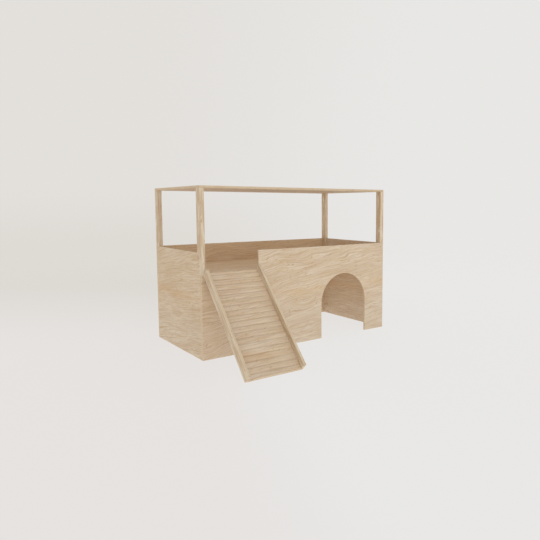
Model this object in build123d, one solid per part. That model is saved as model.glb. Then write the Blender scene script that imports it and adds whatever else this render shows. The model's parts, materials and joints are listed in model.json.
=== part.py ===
from build123d import *
from math import asin, atan2, cos, degrees, hypot, sin
import os

# Guinea pig house of thin plywood: a den under a loft deck, an arched doorway,
# a roof on four corner posts and a grooved ramp on two butt hinges.
# While it is modelled, X runs right from the left end, Y runs back from the
# front face and Z runs up from the floor. All sizes are millimetres.

# House
house_length = 600.0
house_depth = 300.0
house_height = 426.0
wall_height = 264.0
wall_thickness = 6.0
roof_thickness = 6.0
post_width = 12.0
post_depth = 20.0

# Deck and the bearers under it
deck_height = 210.0
deck_thickness = 6.0
deck_clearance = 0.5
bearer_width = 12.0
bearer_height = 12.0

# Openings in the front wall
entry_width = 159.0
door_width = 164.0
door_spring_height = 100.0
door_side_distance = 74.0

# Ramp
ramp_length = 290.0
ramp_width = 150.0
ramp_side_distance = 4.5
board_thickness = 7.0
rail_height = 23.0
rail_thickness = 6.0
rail_edge_radius = 1.2
groove_pitch = 15.0
first_groove_distance = 14.0
groove_width = 7.0
groove_depth = 1.5

# Butt hinges
hinge_length = 25.0
hinge_inset = 35.0
leaf_width = 12.0
leaf_thickness = 0.8
leaf_corner_radius = 1.5
knuckle_radius = 1.75
knuckle_gap = 0.15
barrel_clearance = 0.3
hinge_pin_radius = 0.9
hinge_bore_clearance = 0.05
hinge_pin_head_radius = 1.3
hinge_pin_head_height = 0.6
hinge_screw_spacing = 14.0
hinge_screw_setback = 7.5

# Countersunk screws: shank radius, head radius, length and slot
hinge_screw_radius = 1.0
hinge_screw_head_radius = 1.9
hinge_screw_length = 5.5
roof_screw_radius = 1.5
roof_screw_head_radius = 3.0
roof_screw_length = 22.0
screw_slot_width = 0.6
screw_slot_depth = 0.4

# Panel pins, the thin headed nails that hold the sheets
pin_radius = 0.7
pin_head_radius = 1.1
pin_head_height = 0.6
pin_length = 16.0
post_pin_length = 10.0
pin_end_margin = 30.0
corner_pins = 3
front_bearer_pins = 4
rear_bearer_pins = 6
side_bearer_pins = 3
deck_pins_along = 4
ramp_pins_along = 4

# Derived places
roof_underside = house_height - roof_thickness
deck_underside = deck_height - deck_thickness
deck_pin_length = deck_thickness + bearer_height / 3
bearer_pin_level = deck_underside - bearer_height * 2 / 3
door_centre = house_length - door_side_distance - door_width / 2
wall_offset = knuckle_radius + barrel_clearance
hinge_axis = Vector(0, -wall_offset, deck_height)
slope = asin(deck_height / hypot(ramp_length, wall_offset)) + atan2(wall_offset, ramp_length)
down_slope = Vector(0, -cos(slope), -sin(slope))
ramp_normal = Vector(0, -sin(slope), cos(slope))
board_top = wall_offset + board_thickness
foot_front = hinge_axis + down_slope * ramp_length + ramp_normal * (wall_offset + rail_height)
ramp_left = ramp_side_distance
ramp_right = ramp_side_distance + ramp_width
hinge_centres = {"left": ramp_left + hinge_inset, "right": ramp_right - hinge_inset}

# The model's origin: on the floor, in the middle of the whole outline
to_origin = Location((-house_length / 2, -(house_depth + foot_front.Y) / 2, 0))


def spread(first, last, count):
    """Evenly spaced places from first to last, both included."""
    step = (last - first) / (count - 1)
    return [first + step * index for index in range(count)]


def sheet(outline_plane, width, height, thickness):
    """A rectangular sheet from the plane's origin, its thickness along the plane's normal."""
    return extrude(outline_plane * Rectangle(width, height, align=Align.MIN), amount=thickness)


def bar(x, y, z):
    """A rectangular bar between two limits along each axis."""
    section = Rectangle(x[1] - x[0], y[1] - y[0], align=Align.MIN)
    return extrude(Plane(origin=(x[0], y[0], z[0])) * section, amount=z[1] - z[0])


def without(piece, cutters):
    """The piece with each cutter's space removed."""
    for cutter in cutters:
        piece = piece - cutter
    return piece


# Fasteners, modelled with the head's face at the origin and the shank along -Z


def screw_blank(shank_radius, head_radius, length):
    """A countersunk screw without its slot: a 90 degree head, a shank and a short point."""
    head_depth = head_radius - shank_radius
    outline = Polyline(
        (0, 0),
        (head_radius, 0),
        (shank_radius, -head_depth),
        (shank_radius, shank_radius - length),
        (0, -length),
        close=True,
    )
    return revolve(Plane.XZ * make_face(outline), Axis.Z)


def pin_blank(length):
    """A panel pin: a flat head, a shank and a short point."""
    outline = Polyline(
        (0, 0),
        (pin_head_radius, 0),
        (pin_head_radius, -pin_head_height),
        (pin_radius, -pin_head_height),
        (pin_radius, 2 * pin_radius - length),
        (0, -length),
        close=True,
    )
    return revolve(Plane.XZ * make_face(outline), Axis.Z)


def place(blank, points, outward):
    """Copies of a fastener with the head's face at each point, facing outward."""
    return [Plane(origin=point, z_dir=outward) * blank for point in points]


def blanks_of(screws):
    """The screws alone, from pairs of a screw and its head's centre."""
    return [screw for screw, centre in screws]


def slotted(screws, head_radius, outward):
    """The placed screws with a driver's slot across each head."""
    slot = Box(2.2 * head_radius, screw_slot_width, 2 * screw_slot_depth)
    return [screw - Plane(origin=centre, z_dir=outward) * slot for screw, centre in screws]


hinge_screw = screw_blank(hinge_screw_radius, hinge_screw_head_radius, hinge_screw_length)
roof_screw = screw_blank(roof_screw_radius, roof_screw_head_radius, roof_screw_length)
long_pin = pin_blank(pin_length)
post_pin = pin_blank(post_pin_length)
deck_pin = pin_blank(deck_pin_length)

left, right, front, back, up = (-1, 0, 0), (1, 0, 0), (0, -1, 0), (0, 1, 0), (0, 0, 1)
pin_rows = spread(pin_end_margin, bearer_pin_level - pin_end_margin, corner_pins)


def panel_pin_sets():
    """The pins through each wall, into the walls it covers and into the deck's bearers."""
    ends = (wall_thickness / 2, house_length - wall_thickness / 2)
    last_place = house_length - pin_end_margin
    front_places = spread(entry_width + pin_end_margin, last_place, front_bearer_pins)
    back_places = spread(pin_end_margin, last_place, rear_bearer_pins)
    side_places = spread(pin_end_margin, house_depth - pin_end_margin, side_bearer_pins)
    front_points = [(x, 0, z) for x in ends for z in pin_rows]
    front_points += [(x, 0, bearer_pin_level) for x in front_places]
    back_points = [(x, house_depth, z) for x in ends for z in pin_rows]
    back_points += [(x, house_depth, bearer_pin_level) for x in back_places]
    return {
        "front": place(long_pin, front_points, front),
        "back": place(long_pin, back_points, back),
        "left": place(long_pin, [(0, y, bearer_pin_level) for y in side_places], left),
        "right": place(long_pin, [(house_length, y, bearer_pin_level) for y in side_places], right),
    }


def post_pin_sets():
    """The pins through the walls into the lapped feet of the four posts."""
    low, middle, high = spread(deck_height, wall_height, 5)[1:4]
    foot_x = (wall_thickness + post_width) / 2
    foot_y = (wall_thickness + post_depth) / 2
    sides = [(y, z) for y in (foot_y, house_depth - foot_y) for z in (low, high)]
    back_points = [(x, house_depth, middle) for x in (foot_x, house_length - foot_x)]
    return {
        "front": place(post_pin, [(house_length - foot_x, 0, middle)], front),
        "back": place(post_pin, back_points, back),
        "left": place(post_pin, [(0, y, z) for y, z in sides], left),
        "right": place(post_pin, [(house_length, y, z) for y, z in sides], right),
    }


def deck_pin_set():
    """The pins through the deck into the front and rear bearers, ending above the walls' own pins."""
    inset = wall_thickness + bearer_width / 2
    along = spread(2 * pin_end_margin, house_length - 2 * pin_end_margin, deck_pins_along)
    return place(deck_pin, [(x, y, deck_height) for x in along for y in (inset, house_depth - inset)], up)


def roof_screw_set():
    """One screw down through the roof into the middle of each post."""
    centres = [
        (x, y, house_height)
        for x in (post_width / 2, house_length - post_width / 2)
        for y in (post_depth / 2, house_depth - post_depth / 2)
    ]
    return list(zip(place(roof_screw, centres, up), centres))


panel_pins = panel_pin_sets()
post_pins = post_pin_sets()
deck_pins = deck_pin_set()
roof_screws = roof_screw_set()


# Hinges


def wall_plane(x):
    """Hinge frame on the wall: local X runs down the wall, local Y towards it."""
    return Plane(origin=hinge_axis + Vector(x, 0, 0), x_dir=(0, 0, -1), z_dir=(1, 0, 0))


def ramp_plane(x):
    """Hinge frame on the ramp: local X runs down the slope, local Y up out of it."""
    return Plane(origin=hinge_axis + Vector(x, 0, 0), x_dir=down_slope, z_dir=(-1, 0, 0))


def leaf_screw_points(frame):
    """Where a leaf's two screws meet its outer face."""
    face = wall_offset - leaf_thickness
    reach = hinge_screw_spacing / 2
    return [frame.from_local_coords((hinge_screw_setback, face, side)) for side in (-reach, reach)]


def leaf_blank(bore_radius):
    """A leaf with one knuckle along its whole length, bored for the pin, and rounded corners."""
    plate = Pos(0, wall_offset - leaf_thickness) * Rectangle(leaf_width, leaf_thickness, align=Align.MIN)
    section = plate + Circle(knuckle_radius) - Circle(bore_radius)
    leaf = extrude(section, amount=hinge_length / 2, both=True)
    corners = leaf.edges().filter_by(Axis.Y).group_by(Axis.X)[-1]
    return fillet(corners, leaf_corner_radius)


def knuckle_space(length):
    """The room round the barrel's middle for a knuckle of this length."""
    reach = 2 * wall_offset
    return Box(reach, 2 * reach, length)


def wall_leaf(frame):
    """The leaf on the wall: two outer knuckles that hold the pin tight."""
    middle = hinge_length / 3 + knuckle_gap
    return frame * (leaf_blank(hinge_pin_radius) - knuckle_space(middle))


def ramp_leaf(frame):
    """The leaf on the ramp: one middle knuckle that turns on the pin."""
    middle = hinge_length / 3 - knuckle_gap
    outer = knuckle_space(2 * hinge_length) - knuckle_space(middle)
    return frame * (leaf_blank(hinge_pin_radius + hinge_bore_clearance) - outer)


def hinge_pin(frame):
    """The hinge's pin with a low head at each end of the barrel."""
    half = hinge_length / 2
    outline = Polyline(
        (0, -half - hinge_pin_head_height),
        (hinge_pin_head_radius, -half - hinge_pin_head_height / 2),
        (hinge_pin_head_radius, -half),
        (hinge_pin_radius, -half),
        (hinge_pin_radius, half),
        (hinge_pin_head_radius, half),
        (hinge_pin_head_radius, half + hinge_pin_head_height / 2),
        (0, half + hinge_pin_head_height),
        close=True,
    )
    return frame * revolve(Plane.XZ * make_face(outline), Axis.Z)


def hinge_screw_set(frame_at, outward):
    """The four screws of both hinges on one side, each with its head's centre."""
    centres = [point for x in hinge_centres.values() for point in leaf_screw_points(frame_at(x))]
    return list(zip(place(hinge_screw, centres, outward), centres))


wall_screws = hinge_screw_set(wall_plane, front)
ramp_screws = hinge_screw_set(ramp_plane, -ramp_normal)


# Walls, deck, bearers, posts and roof


def doorway():
    """The doorway's space: straight jambs under a half round head."""
    springing = (Pos(0, door_spring_height) * Circle(door_width / 2)).face()
    jambs = Rectangle(door_width, door_spring_height, align=(Align.CENTER, Align.MIN)).face()
    opening = Plane(origin=(door_centre, 0, 0), x_dir=right, z_dir=front) * (Sketch() + springing + jambs)
    return extrude(opening, amount=-wall_thickness)


def front_blank():
    """The front wall, lowered to the deck at its left end where the ramp arrives."""
    outline = Polyline(
        (0, 0),
        (house_length, 0),
        (house_length, wall_height),
        (entry_width, wall_height),
        (entry_width, deck_height),
        (0, deck_height),
        close=True,
    )
    face = Plane(origin=(0, 0, 0), x_dir=right, z_dir=front) * make_face(outline)
    return extrude(face, amount=-wall_thickness) - doorway()


def wall_blanks():
    """The four walls before they are drilled: the long ones cover the ends of the short ones."""
    side_depth = house_depth - 2 * wall_thickness
    back_plane = Plane(origin=(0, house_depth, 0), x_dir=right, z_dir=front)
    left_plane = Plane(origin=(0, wall_thickness, 0), x_dir=back, z_dir=right)
    right_plane = Plane(origin=(house_length - wall_thickness, wall_thickness, 0), x_dir=back, z_dir=right)
    return {
        "front": front_blank(),
        "back": sheet(back_plane, house_length, wall_height, wall_thickness),
        "left": sheet(left_plane, side_depth, wall_height, wall_thickness),
        "right": sheet(right_plane, side_depth, wall_height, wall_thickness),
    }


walls = wall_blanks()


def drilled_wall(side):
    """One wall with the holes for its own pins, the pins that enter its end and the hinge screws."""
    pins = panel_pins[side] + post_pins[side]
    if side in ("left", "right"):
        pins = pins + panel_pins["front"] + panel_pins["back"]
    if side == "front":
        pins = pins + blanks_of(wall_screws)
    return without(walls[side], near(walls[side], pins))


def near(piece, cutters):
    """The cutters whose boxes meet the piece's box."""
    box = piece.bounding_box()
    return [cutter for cutter in cutters if boxes_meet(box, cutter.bounding_box())]


def boxes_meet(one, two):
    """Whether two boxes share any space."""
    starts = zip(one.min, two.max)
    ends = zip(two.min, one.max)
    return all(low < high for low, high in starts) and all(low < high for low, high in ends)


def deck():
    """The loft's deck, a loose fit between the walls and level with the ramp's sill."""
    inset = wall_thickness + deck_clearance
    panel = bar(
        (inset, house_length - inset),
        (inset, house_depth - inset),
        (deck_underside, deck_height),
    )
    return without(panel, deck_pins)


def bearers():
    """The four bearers under the deck's edges: the side ones run the full depth inside."""
    inner_x = (wall_thickness, house_length - wall_thickness)
    inner_y = (wall_thickness, house_depth - wall_thickness)
    between = (inner_x[0] + bearer_width, inner_x[1] - bearer_width)
    level = (deck_underside - bearer_height, deck_underside)
    return {
        "bearer_left": bar((inner_x[0], between[0]), inner_y, level),
        "bearer_right": bar((between[1], inner_x[1]), inner_y, level),
        "bearer_front": bar(between, (inner_y[0], inner_y[0] + bearer_width), level),
        "bearer_rear": bar(between, (inner_y[1] - bearer_width, inner_y[1]), level),
    }


def posts():
    """The corner posts: flush with the walls' faces, their feet lapped inside down to the deck."""
    sides = {"left": (0, post_width), "right": (house_length - post_width, house_length)}
    rows = {"front": (0, post_depth), "rear": (house_depth - post_depth, house_depth)}
    made = {}
    for row, y in rows.items():
        for side, x in sides.items():
            post = bar(x, y, (deck_height, roof_underside))
            made[f"post_{row}_{side}"] = without(post, near(post, walls.values()))
    return made


def roof():
    """The flat roof, the size of the house, countersunk for the screws into the posts."""
    panel = bar((0, house_length), (0, house_depth), (roof_underside, house_height))
    return without(panel, blanks_of(roof_screws))


# Ramp


def ramp_board():
    """The board between the rails, undrilled, with scooped grooves across it from the foot up."""
    scoop_radius = (groove_width**2 / 4 + groove_depth**2) / (2 * groove_depth)
    scoop_height = board_top + scoop_radius - groove_depth
    grooved_length = ramp_length - first_groove_distance - groove_width / 2
    groove_count = int(grooved_length / groove_pitch) + 1
    profile = Pos(0, wall_offset) * Rectangle(ramp_length, board_thickness, align=Align.MIN)
    for index in range(groove_count):
        place_on_slope = ramp_length - first_groove_distance - groove_pitch * index
        profile = profile - Pos(place_on_slope, scoop_height) * Circle(scoop_radius)
    board_width = ramp_width - 2 * rail_thickness
    return extrude(ramp_plane(ramp_right - rail_thickness) * profile, amount=board_width)


def ramp_rail(x):
    """A side rail starting at x: its upper edges are rounded and its ends are cut square."""
    section = Rectangle(rail_thickness, rail_height, align=Align.MIN)
    section = fillet(section.vertices().group_by(Axis.Y)[-1], rail_edge_radius)
    start = hinge_axis + Vector(x, 0, 0) + ramp_normal * wall_offset
    return extrude(Plane(origin=start, x_dir=right, z_dir=down_slope) * section, amount=ramp_length)


def ramp_pin_sets():
    """The pins through each rail into the middle of the board's edge."""
    frame = ramp_plane(0)
    level = wall_offset + board_thickness / 2
    places = spread(pin_end_margin, ramp_length - pin_end_margin, ramp_pins_along)
    points = [frame.from_local_coords((along, level, 0)) for along in places]
    return {
        "left": place(long_pin, [point + Vector(ramp_left, 0, 0) for point in points], left),
        "right": place(long_pin, [point + Vector(ramp_right, 0, 0) for point in points], right),
    }


ramp_pins = ramp_pin_sets()


# All the nodes

nodes = {
    "front_panel": drilled_wall("front"),
    "back_panel": drilled_wall("back"),
    "left_panel": drilled_wall("left"),
    "right_panel": drilled_wall("right"),
    "deck": deck(),
    "roof": roof(),
}
all_wall_pins = [pin for group in panel_pins.values() for pin in group]
all_post_pins = [pin for group in post_pins.values() for pin in group]
for name, bearer in bearers().items():
    nodes[name] = without(bearer, near(bearer, all_wall_pins + deck_pins))
for name, post in posts().items():
    nodes[name] = without(post, near(post, all_post_pins + blanks_of(roof_screws)))

all_ramp_pins = ramp_pins["left"] + ramp_pins["right"]
nodes["ramp_board"] = without(ramp_board(), all_ramp_pins + blanks_of(ramp_screws))
nodes["ramp_rail_left"] = without(ramp_rail(ramp_left), ramp_pins["left"])
nodes["ramp_rail_right"] = without(ramp_rail(ramp_right - rail_thickness), ramp_pins["right"])

for side, x in hinge_centres.items():
    fixed = wall_leaf(wall_plane(x))
    moving = ramp_leaf(ramp_plane(x))
    nodes[f"hinge_{side}_wall_leaf"] = without(fixed, near(fixed, blanks_of(wall_screws)))
    nodes[f"hinge_{side}_ramp_leaf"] = without(moving, near(moving, blanks_of(ramp_screws)))
    nodes[f"hinge_{side}_pin"] = hinge_pin(wall_plane(x))

nodes["hinge_wall_screws"] = slotted(wall_screws, hinge_screw_head_radius, front)
nodes["hinge_ramp_screws"] = slotted(ramp_screws, hinge_screw_head_radius, -ramp_normal)
nodes["roof_screws"] = slotted(roof_screws, roof_screw_head_radius, up)
nodes["panel_pins"] = all_wall_pins
nodes["post_pins"] = all_post_pins
nodes["deck_pins"] = deck_pins
nodes["ramp_pins"] = all_ramp_pins


def solids_of(piece):
    """The solids of one piece or of a group of like pieces."""
    pieces = piece if isinstance(piece, list) else [piece]
    return [solid for each in pieces for solid in each.solids()]


os.makedirs("parts", exist_ok=True)
for name, piece in nodes.items():
    moved = [solid.moved(to_origin) for solid in solids_of(piece)]
    shape = moved[0] if len(moved) == 1 else Compound(children=moved)
    export_step(shape, f"parts/{name}.step")

print("slope of the ramp, degrees", round(degrees(slope), 3))
print("origin from the left end and the front face", to_origin.position)
print("hinge axis", hinge_axis + to_origin.position)
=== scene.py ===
import json
import math
from functools import partial

import bpy
import numpy as np
from mathutils import Matrix, Vector, geometry


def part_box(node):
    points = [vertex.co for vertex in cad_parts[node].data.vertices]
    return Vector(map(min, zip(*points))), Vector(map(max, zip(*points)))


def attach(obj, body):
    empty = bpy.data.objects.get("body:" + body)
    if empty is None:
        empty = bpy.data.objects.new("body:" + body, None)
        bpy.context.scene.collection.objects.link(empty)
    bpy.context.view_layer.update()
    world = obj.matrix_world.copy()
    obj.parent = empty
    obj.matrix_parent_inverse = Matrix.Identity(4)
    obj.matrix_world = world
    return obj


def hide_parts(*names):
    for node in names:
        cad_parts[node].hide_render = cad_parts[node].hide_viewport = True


bl_info = {
    "name": "Plywood Guinea Pig House",
    "version": (1, 0, 0),
    "blender": (4, 5, 0),
    "location": "3D View > Sidebar > Pig House",
    "description": "Dresses the guinea pig house in sanded plywood and planed maple and sets up its studio",
    "category": "Object",
}

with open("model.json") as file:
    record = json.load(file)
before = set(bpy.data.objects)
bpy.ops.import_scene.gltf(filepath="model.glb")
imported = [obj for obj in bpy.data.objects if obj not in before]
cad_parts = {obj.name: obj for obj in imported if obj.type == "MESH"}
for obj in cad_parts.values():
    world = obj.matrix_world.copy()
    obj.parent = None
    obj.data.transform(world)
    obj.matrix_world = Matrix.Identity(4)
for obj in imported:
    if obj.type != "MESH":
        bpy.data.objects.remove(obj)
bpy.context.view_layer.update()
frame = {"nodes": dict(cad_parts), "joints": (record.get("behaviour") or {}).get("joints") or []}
MM = 0.001
X, Y, Z = (1, 0, 0), (0, 1, 0), (0, 0, 1)
LEFTWARD, FRONTWARD, DOWNWARD = (-1, 0, 0), (0, -1, 0), (0, 0, -1)

# The pit that a fastener's head sits in, as (radius, depth) of its rings from the face inwards
PIN_PIT = ((1.12 * MM, 0.0), (1.12 * MM, 0.62 * MM))
SCREW_PIT = ((3.03 * MM, 0.0), (1.53 * MM, 1.5 * MM), (1.53 * MM, 4.0 * MM))
# How far the rubbed colour runs on from an arris over a slab's side
SIDE_BAND = 0.8 * MM
SPIN = np.linspace(0, 2 * np.pi, 20, endpoint=False)
CIRCLE = np.stack([np.cos(SPIN), np.sin(SPIN)], 1)

# Waves of the growth lines, coarse to fine, as (height, run, breadth) in millimetres
BROAD_WAVES = ((46, 210, 70), (15, 72, 26), (2.6, 22, 9))
CALM_WAVES = ((30, 260, 60), (8, 84, 22), (1.8, 24, 8))
SHORT_WAVES = ((30, 150, 60), (5, 60, 24), (1.2, 20, 9))
TIMBER_WAVES = ((14, 190, 40), (5, 46, 18))

# Tints that multiply a wood's colour: red, green and blue
PLAIN = (1, 1, 1)
# Painted cool light from the floor, laid over the wood below the heart
COOL_FLOOR_LIGHT_TINT = (0.965, 1.0, 1.06)
WARM_PATCH = (1.0, 0.99, 0.92)


def linear(hex_colour):
    """An sRGB hex colour as linear red, green, blue: the inverse of the display curve on each part."""
    parts = np.array([int(hex_colour[i : i + 2], 16) for i in (1, 3, 5)]) / 255
    return tuple(np.where(parts <= 0.04045, parts / 12.92, ((parts + 0.055) / 1.055) ** 2.4))


# What a user would change


def number(name, description, default, **kind):
    """A setting with a short description and, where it has one, a unit."""
    return bpy.props.FloatProperty(name=name, description=description, default=default, **kind)


def length(name, description, default):
    """A size in metres."""
    return number(name, description, default, min=0, unit="LENGTH", subtype="DISTANCE", precision=5)


def triple(name, description, default, **kind):
    """Numbers that belong together, such as a place or a tint."""
    return bpy.props.FloatVectorProperty(name=name, description=description, default=default, **kind)


def colour(name, description, hex_colour):
    """A colour given as sRGB hex and held as linear red, green and blue."""
    return triple(name, description, linear(hex_colour), min=0, max=1, subtype="COLOR")


class PigHouseSheetSizes(bpy.types.PropertyGroup):
    """Sizes of the plywood walls, the deck and the roof."""

    arris: length("Arris", "How far the sheets' sharp edges are sanded back", 0.55 * MM)
    corner: length("Corner", "Radius of the sheets' sawn corners", 0.9 * MM)
    rubbed_band: length("Rubbed band", "Width of the rubbed band beside each edge", 1.5 * MM)
    entry_width: length("Entry width", "Width of the lowered part of the front wall", 159 * MM)
    entry_height: length("Entry height", "Height of the lowered part of the front wall", 210 * MM)
    door_left: length("Doorway start", "Left jamb of the doorway from the left end", 362 * MM)
    door_width: length("Doorway width", "Width of the arched doorway", 164 * MM)
    door_height: length("Doorway height", "Height of the doorway's crown", 182 * MM)


class PigHouseTimberSizes(bpy.types.PropertyGroup):
    """Sizes of the posts, bearers and ramp."""

    arris: length("Arris", "How far the posts' and bearers' edges are planed back", 0.7 * MM)
    rail_round: length("Rail rounding", "Radius along the rails' upper edges", 1.2 * MM)
    ramp_length: length("Ramp length", "Length of the ramp down its slope", 290 * MM)
    ramp_gap: length("Ramp gap", "From the hinge's axis to the ramp's underside", 2.05 * MM)
    ramp_end: length("Ramp ends", "Rounding of the ends of the ramp's board and rails", 0.8 * MM)
    board: length("Board", "Thickness of the ramp's board", 7 * MM)
    rail: length("Rail height", "Height of the ramp's side rails", 23 * MM)
    groove_pitch: length("Groove pitch", "From one groove of the ramp to the next", 15 * MM)
    groove_width: length("Groove width", "Width of one scooped groove", 7 * MM)
    groove_depth: length("Groove depth", "Depth of one scooped groove", 1.5 * MM)
    groove_foot: length("First groove", "From the ramp's foot to the middle of its first groove", 14 * MM)
    crest: length("Crest rounding", "How far the edges of the grooves are rubbed round", 0.4 * MM)


class PigHouseColours(bpy.types.PropertyGroup):
    """Colours of the woods and metals."""

    veneer: colour("Veneer", "Pale earlywood of the maple veneer", "#DCCCB6")
    figure: colour("Figure", "Darker growth lines of the veneer", "#BEA07D")
    heart: colour("Heart streak", "Orange brown streak of heartwood", "#CFA878")
    fleck: colour("Fleck", "Short dark curls in the veneer", "#A98660")
    cross_ply: colour("Cross ply", "End grain of the plies that cross the faces", "#D3BD9D")
    glue: colour("Glue line", "Glue between the plies", "#B59972")
    timber: colour("Timber", "Earlywood of the planed posts and rails", "#E3D7C1")
    timber_late: colour("Timber latewood", "Latewood of the planed posts and rails", "#BFA280")
    stripe: colour("Timber stripe", "Pinkish mineral stripes of the planed posts and rails", "#C09A74")
    # Laid on worn edges, and also as a painted highlight on the ramp's treads
    wear_and_painted_light: colour("Rubbed wood", "Wood where edges, crests and treads are rubbed", "#E6D3B4")
    zinc: colour("Zinc", "Zinc plating of the hinges and screws", "#C4C3BE")
    bright_steel: colour("Bright steel", "Heads of the panel pins", "#C9BFAF")


class PigHouseStudio(bpy.types.PropertyGroup):
    """The camera, lamps, floor and backdrop of the picture."""

    camera_place: triple(
        "Camera place", "Where the camera stands", (-0.81815, -1.21318, 0.37709), unit="LENGTH",
        subtype="TRANSLATION",
    )
    camera_turn: number("Camera turn", "Angle to the right of straight back", math.radians(37.74), subtype="ANGLE")
    camera_tilt: number("Camera tilt", "Angle above the horizon", math.radians(-5.37), subtype="ANGLE")
    lens: number("Lens", "Focal length on a 36 mm sensor", 34.814, unit="CAMERA")
    shift: triple("Shift", "Shift of the lens across and up, in picture widths", (-0.1096, -0.0278), size=2)
    key: number("Key light", "Strength of the soft key light", 0.52, min=0)
    key_spread: number("Key spread", "Angle that the broad key light fills", math.radians(50), subtype="ANGLE")
    key_aim: triple("Key aim", "Way in which the key light shines", (0.2, 0.95, -0.14), subtype="XYZ")
    room: number("Room light", "Strength of the even light", 0.83, min=0)
    zenith: number("Zenith", "Share of the even light that comes from straight above", 0.72, min=0, max=1)
    glow: number("Floor glow", "Light that the translucent floor gives from below", 0.9, min=0)
    glow_seen: number("Seen glow", "Brightness of that glow to the camera", 0.713, min=0)
    glow_tint: triple("Glow tint", "Tint of the glow", (1, 0.992, 0.98), min=0, max=1)
    # These three paint a shadow of the house onto the floor at the left: a warmer glow there, warmer and darker
    # still far away
    left_shadow_tint: triple("Left glow tint", "Tint of the glow at the left", (1, 0.966, 0.946), min=0, max=1)
    painted_shadow_tint: triple("Dusk tint", "Tint of the glow far away at the left", (1, 0.965, 0.9), min=0, max=1)
    painted_floor_shadow: number("Dusk", "How much weaker the seen glow is far away at the left", 0.076, min=0)
    floor_near: length("Floor near", "Where the floor begins to fade into the backdrop", 0.9)
    floor_reach: length("Floor reach", "Where the floor has faded into the backdrop", 3.2)
    floor: colour("Floor", "Matt top of the studio's light table", "#6A6968")
    backdrop_left: colour("Backdrop left", "Backdrop at the left of the picture", "#E3E0DC")
    backdrop_low: colour("Backdrop low", "Backdrop at the left near the floor", "#DEDAD4")
    backdrop_right: colour("Backdrop right", "Backdrop at the right of the picture", "#E8E7E5")


def settings(group):
    """One group of the scene's settings."""
    return getattr(bpy.context.scene, "pig_house_" + group)


# Nodes

# Properties that many nodes share: a smooth step, and a colour laid over another or multiplied with it
SMOOTH = {"interpolation_type": "SMOOTHSTEP"}
OVER = {"data_type": "RGBA"}
TINTED = {"data_type": "RGBA", "blend_type": "MULTIPLY"}


def add_node(tree, kind, inputs=(), operation=None, **properties):
    """Adds one node, sets its properties, and gives its live inputs, in order or by name, values or links.
    A node among them stands for its first live output, and a colour's fourth part is one."""
    made = tree.nodes.new("ShaderNode" + kind)
    if operation:
        made.operation = operation
    for name, value in properties.items():
        setattr(made, name, value)
    sockets = [each for each in made.inputs if each.enabled]
    if isinstance(inputs, dict):
        sockets, inputs = [made.inputs[name] for name in inputs], inputs.values()
    for socket, value in zip(sockets, inputs):
        if isinstance(value, bpy.types.Node):
            value = next(each for each in value.outputs if each.enabled)
        if isinstance(value, bpy.types.NodeSocket):
            tree.links.new(value, socket)
        else:
            socket.default_value = (*value[:3], 1) if socket.type == "RGBA" else value
    return made


def bare_nodes(owner):
    """Empties the nodes of a material or the world, and gives the function that adds one to them."""
    owner.use_nodes = True
    owner.node_tree.nodes.clear()
    return partial(add_node, owner.node_tree)


def laid(node, tone, pattern, low, high, share, over, blend=OVER):
    """A tone with a colour laid over it: none where the pattern is at low, the whole share at high."""
    amount = node("MapRange", (pattern, low, high, 0.0, share), **SMOOTH)
    return node("Mix", (amount, tone, over), **blend)


def saw_tooth(node, turns, start, peak):
    """A line that darkens slowly from start to peak and ends quickly, at a whole turn."""
    rise = node("MapRange", (turns, start, peak), **SMOOTH)
    fall = node("MapRange", (turns, peak, 1.0, 1.0, 0.0), **SMOOTH)
    return node("Math", (rise, fall), "MINIMUM")


# Materials


def grain_place(node, centre, along, across):
    """The piece's own millimetres: X along the grain, Y across it in the face, Z through the thickness."""
    along, across = Vector(along).normalized(), Vector(across).normalized()
    turn = Matrix((along, across, along.cross(across))).transposed().to_euler()
    where = node("TexCoord").outputs["Object"]
    return node("Mapping", (where, centre, turn, (MM, MM, MM)), vector_type="TEXTURE")


def stretched(node, place, size, detail=2.0, rough=0.5, lean=0.0):
    """Noise whose features measure size = (along, across, through) millimetres, leaning by a slope."""
    if lean:
        x, y, z = node("SeparateXYZ", (place,)).outputs
        place = node("CombineXYZ", (x, node("Math", (x, -lean, y), "MULTIPLY_ADD"), z))
    placed = node("Mapping", {"Vector": place, "Scale": tuple(1 / each for each in size)})
    return node("TexNoise", {"Vector": placed, "Scale": 1.0, "Detail": detail, "Roughness": rough})


def growth_lines(node, place, seed, spacing, waves):
    """Growth lines as the level lines of a wavy height: across + the sum of each wave's height times a
    noise of its own length and breadth. Each line is a saw tooth that fades in and out along its run.
    Gives the lines, and the grain's own place, which follows them."""
    # Each seed takes the noise from another place, far from the others
    moved = node("VectorMath", (place, (seed * 913.0, seed * 377.0, 0)), "ADD")
    x, across, z = node("SeparateXYZ", (moved,)).outputs
    for height, run, breadth in waves:
        wave = stretched(node, moved, (run, breadth, breadth), 1.0)
        across = node("Math", (wave, height, across), "MULTIPLY_ADD")
    grain = node("CombineXYZ", (x, across, z))
    # Slow noise makes the lines uneven in width, as the years' growth is
    slow = stretched(node, grain, (400, 9, 30), 1.0)
    uneven = node("Math", (slow, 2.2 * spacing, across), "MULTIPLY_ADD")
    count = node("Math", (uneven, spacing), "DIVIDE")
    turns = node("Math", (count,), "FRACT")
    patches = stretched(node, grain, (60, 7, 20))
    presence = node("MapRange", (patches, 0.38, 0.62, 0.05, 1.0), **SMOOTH)
    return node("Math", (saw_tooth(node, turns, 0.15, 0.8), presence), "MULTIPLY"), grain


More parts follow.
